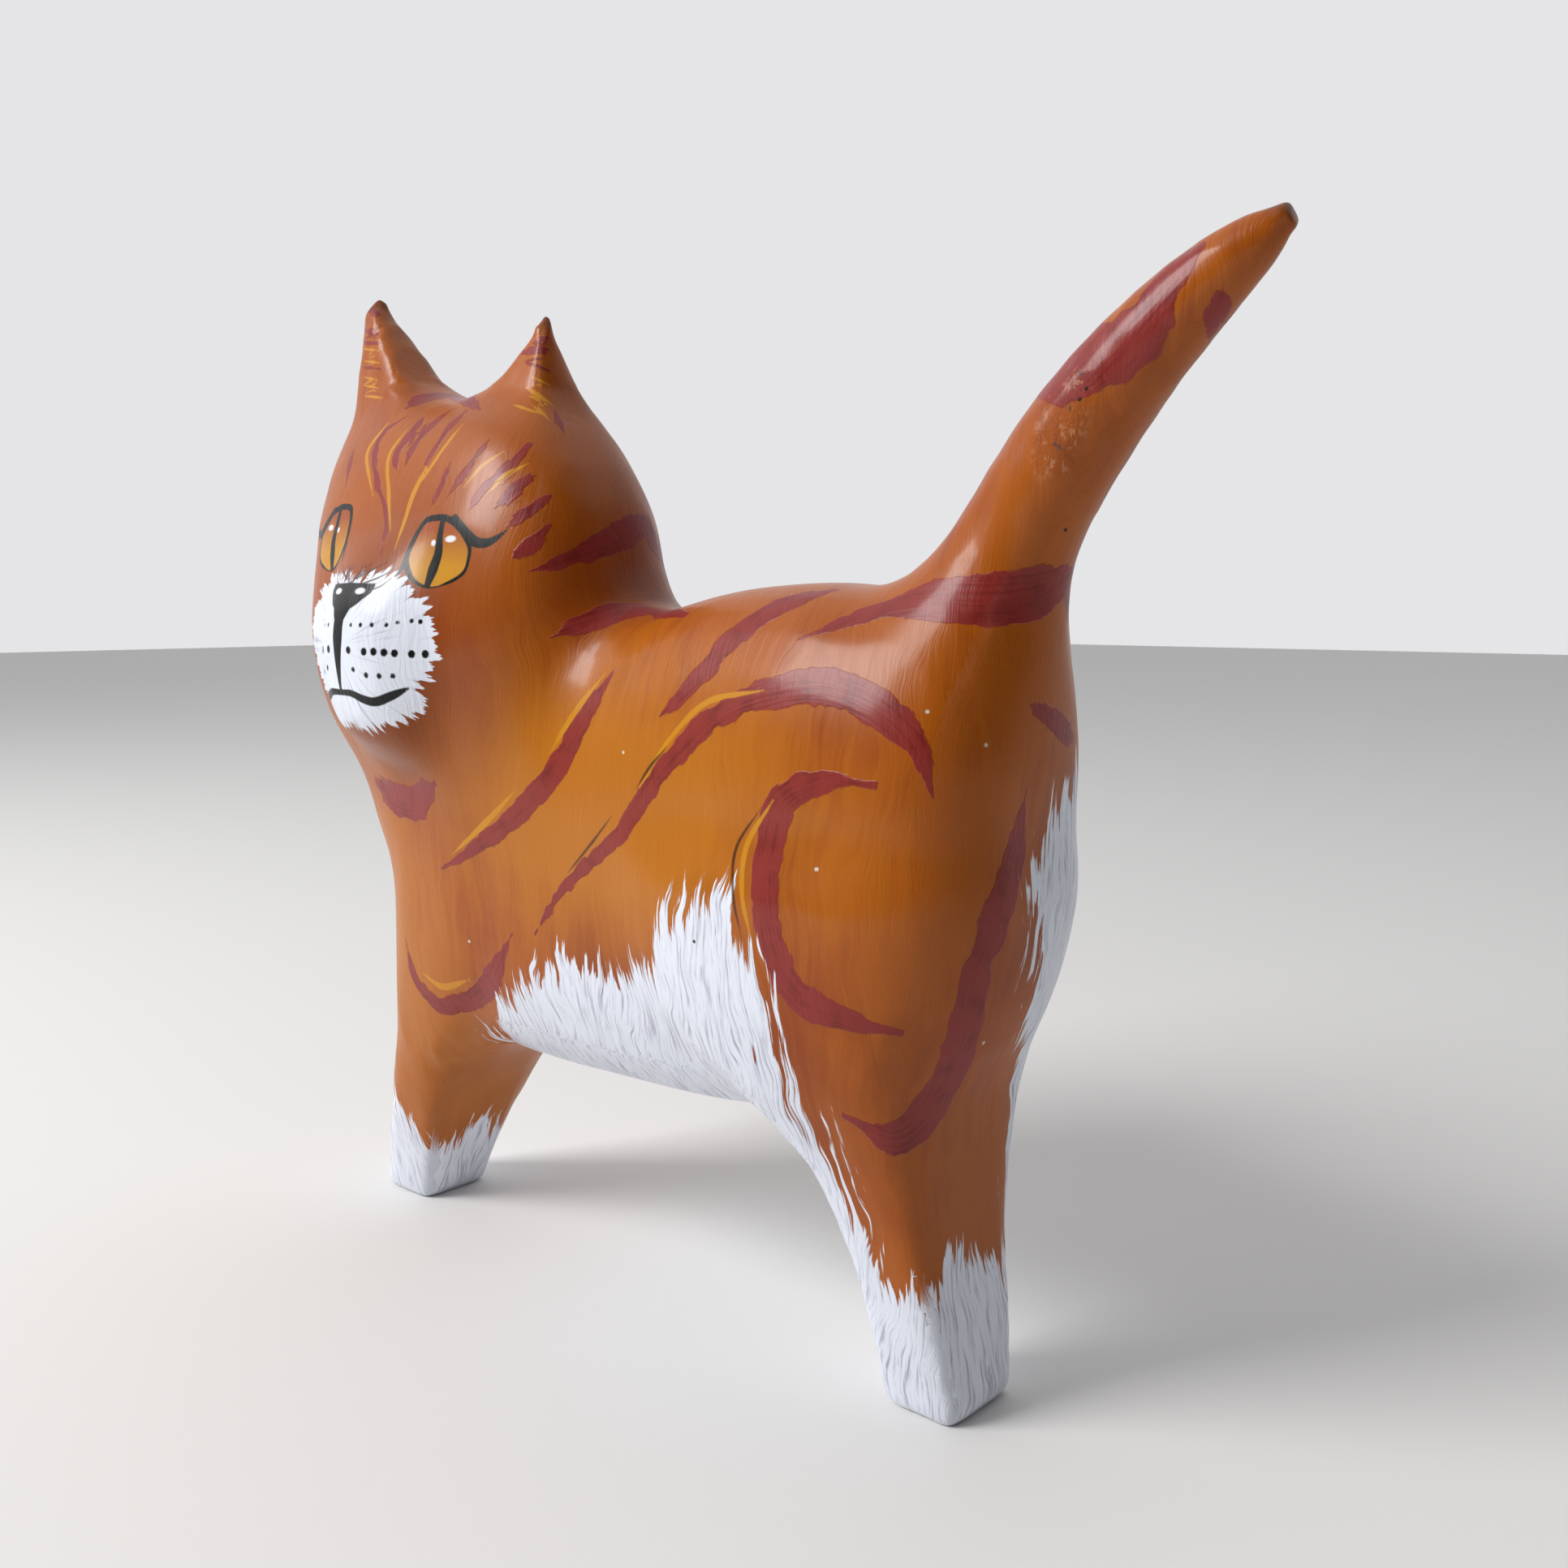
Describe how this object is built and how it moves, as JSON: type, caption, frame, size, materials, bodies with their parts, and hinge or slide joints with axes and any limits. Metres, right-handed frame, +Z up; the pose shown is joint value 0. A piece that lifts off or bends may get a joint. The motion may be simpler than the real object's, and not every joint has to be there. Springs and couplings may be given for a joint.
{
  "type": "painted wooden cat figurine",
  "caption": "Carved standing cat with its head turned to one side and its tail raised, painted as a ginger cat with red stripes and white feet, belly and muzzle",
  "frame": {"origin": "on the floor under the middle of the figure's bounds", "axes": "+X along the body towards the tail, -Y the side the face looks to, +Z up"},
  "size_m": [0.217, 0.0644, 0.1997],
  "materials": {
    "painted_wood": "hand-painted carved wood under glossy varnish: orange-brown coat, dark red and yellow brush stripes, brushed white belly, feet and muzzle"
  },
  "bodies": {
    "root": {"cat": "painted_wood"}
  },
  "joints": []
}
